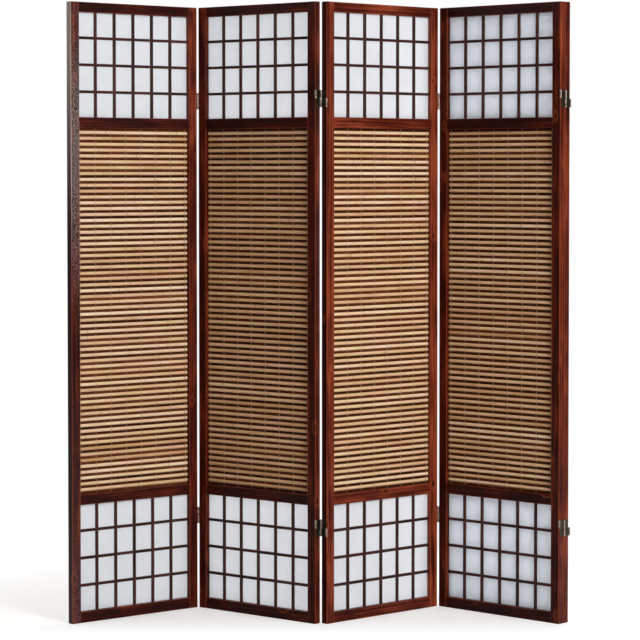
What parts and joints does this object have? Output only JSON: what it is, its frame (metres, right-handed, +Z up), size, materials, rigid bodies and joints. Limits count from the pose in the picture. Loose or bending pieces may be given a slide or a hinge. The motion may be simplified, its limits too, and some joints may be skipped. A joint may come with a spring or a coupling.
{
  "type": "folding screen",
  "caption": "Folding room screen: wooden panels with a papered lattice above and below a field of bound bamboo slats, joined edge to edge by two-way hinges.",
  "frame": {"origin": "on the floor, in the middle of the box round the whole screen as it stands", "axes": "+Z up, -Y towards the viewer of the front, +X to the right along the row of panels"},
  "size_m": [1.4487, 0.3435, 1.79],
  "materials": {
    "frame_wood": "dark red-brown stain under satin varnish, softened edges",
    "lattice_wood": "dark stain, satin",
    "paper": "white fibrous paper, matte, lets light through",
    "light_bamboo": "natural split bamboo with darker nodes, satin",
    "dark_bamboo": "stained split bamboo, satin",
    "cord": "twisted cotton warp thread",
    "hinge_metal": "antiqued dark bronze, worn brighter on the barrels",
    "pin_metal": "bright bronzed steel"
  },
  "bodies": {
    "panel_1": {"panel_1_left_stile": "frame_wood", "panel_1_right_stile": "frame_wood", "panel_1_rails": "frame_wood", "panel_1_lattice": "lattice_wood", "panel_1_paper": "paper", "panel_1_light_slats": "light_bamboo", "panel_1_dark_slats": "dark_bamboo", "panel_1_warp_cords": "cord", "panel_1_hinge_leaves": "hinge_metal", "panel_1_hinge_links": "hinge_metal", "panel_1_hinge_pins": "pin_metal", "panel_1_screws": "pin_metal"},
    "panel_2": {"panel_2_left_stile": "frame_wood", "panel_2_right_stile": "frame_wood", "panel_2_rails": "frame_wood", "panel_2_lattice": "lattice_wood", "panel_2_paper": "paper", "panel_2_light_slats": "light_bamboo", "panel_2_dark_slats": "dark_bamboo", "panel_2_warp_cords": "cord", "panel_2_hinge_leaves": "hinge_metal", "panel_2_hinge_links": "hinge_metal", "panel_2_hinge_pins": "pin_metal", "panel_2_screws": "pin_metal"},
    "panel_3": {"panel_3_left_stile": "frame_wood", "panel_3_right_stile": "frame_wood", "panel_3_rails": "frame_wood", "panel_3_lattice": "lattice_wood", "panel_3_paper": "paper", "panel_3_light_slats": "light_bamboo", "panel_3_dark_slats": "dark_bamboo", "panel_3_warp_cords": "cord", "panel_3_hinge_leaves": "hinge_metal", "panel_3_hinge_links": "hinge_metal", "panel_3_hinge_pins": "pin_metal", "panel_3_screws": "pin_metal"},
    "panel_4": {"panel_4_left_stile": "frame_wood", "panel_4_right_stile": "frame_wood", "panel_4_rails": "frame_wood", "panel_4_lattice": "lattice_wood", "panel_4_paper": "paper", "panel_4_light_slats": "light_bamboo", "panel_4_dark_slats": "dark_bamboo", "panel_4_warp_cords": "cord", "panel_4_hinge_leaves": "hinge_metal", "panel_4_hinge_links": "hinge_metal", "panel_4_hinge_pins": "pin_metal", "panel_4_screws": "pin_metal"},
    "panel_5": {"panel_5_left_stile": "frame_wood", "panel_5_right_stile": "frame_wood", "panel_5_rails": "frame_wood", "panel_5_lattice": "lattice_wood", "panel_5_paper": "paper", "panel_5_light_slats": "light_bamboo", "panel_5_dark_slats": "dark_bamboo", "panel_5_warp_cords": "cord", "panel_5_hinge_leaves": "hinge_metal", "panel_5_hinge_links": "hinge_metal", "panel_5_hinge_pins": "pin_metal", "panel_5_screws": "pin_metal"}
  },
  "joints": [
    {"name": "fold_1_2", "type": "hinge", "parent": "panel_2", "child": "panel_1", "pos_m": [-0.35942, 0.11908, 0.895], "axis": [0, 0, 1], "range_deg": [-79.2, 100.8]},
    {"name": "fold_2_3", "type": "hinge", "parent": "panel_3", "child": "panel_2", "pos_m": [0.00668, -0.15212, 0.895], "axis": [0, 0, -1], "range_deg": [-81.9, 94.6]},
    {"name": "fold_3_4", "type": "hinge", "parent": "panel_3", "child": "panel_4", "pos_m": [0.35859, 0.13726, 0.895], "axis": [0, 0, -1], "range_deg": [-85.2, 91.3]},
    {"name": "fold_4_5", "type": "hinge", "parent": "panel_4", "child": "panel_5", "pos_m": [0.70848, -0.15457, 0.895], "axis": [0, 0, 1], "range_deg": [-180, 0]}
  ]
}
